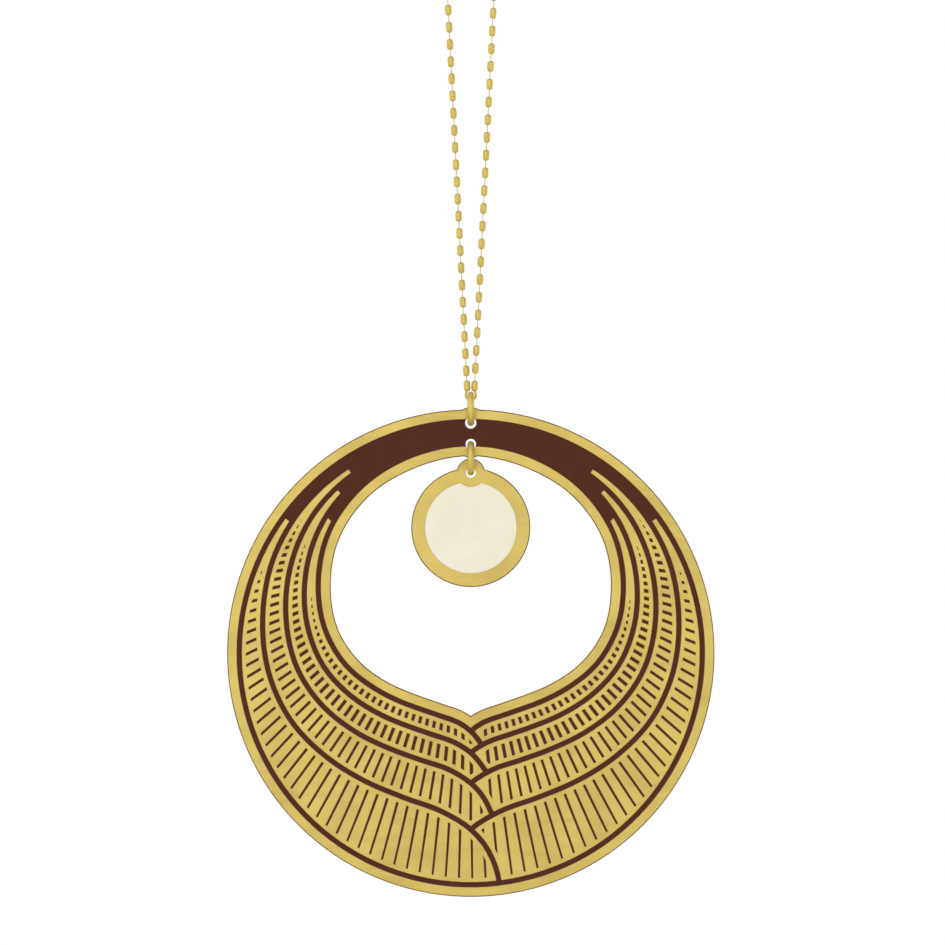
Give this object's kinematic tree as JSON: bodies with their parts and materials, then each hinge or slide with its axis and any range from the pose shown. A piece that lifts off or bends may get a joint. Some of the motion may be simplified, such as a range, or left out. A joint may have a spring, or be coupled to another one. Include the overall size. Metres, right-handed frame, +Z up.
{
  "type": "long necklace",
  "caption": "Long necklace on a fine bead chain: round brass disc with a wide pointed window, dark feather bands with small marks, and a small pale round charm in the window.",
  "frame": {"origin": "underside of the clasp, at the top of the inside of the chain's loop, where the necklace hangs", "axes": "+Z up along the hanging chain, +X to the right across the pendant's face, +Y from the pendant's decorated front to its back"},
  "size_m": [0.0584, 0.0042, 0.4298],
  "materials": {
    "plate_brass": "satin gold-coloured brass",
    "ring_brass": "satin gold-coloured brass wire",
    "chain_brass": "satin gold-coloured brass beads",
    "brown_enamel": "glossy dark brown enamel",
    "ivory_enamel": "glossy ivory enamel"
  },
  "bodies": {
    "chain": {"clasp": "chain_brass", "chain_back": "chain_brass", "chain_front": "chain_brass", "saddle": "ring_brass"},
    "top_ring": {"bail_ring": "ring_brass"},
    "pendant": {"disc_plate": "plate_brass", "wing_enamel": "brown_enamel", "charm_ring": "ring_brass", "charm_plate": "plate_brass", "charm_enamel": "ivory_enamel"}
  },
  "joints": [
    {"name": "ring_swing", "type": "hinge", "parent": "chain", "child": "top_ring", "pos_m": [0, 0, -0.36783], "axis": [1, 0, 0], "range_deg": [-30, 30]},
    {"name": "pendant_sway", "type": "hinge", "parent": "top_ring", "child": "pendant", "pos_m": [0, 0, -0.37051], "axis": [0, 1, 0], "range_deg": [-40, 40]}
  ]
}
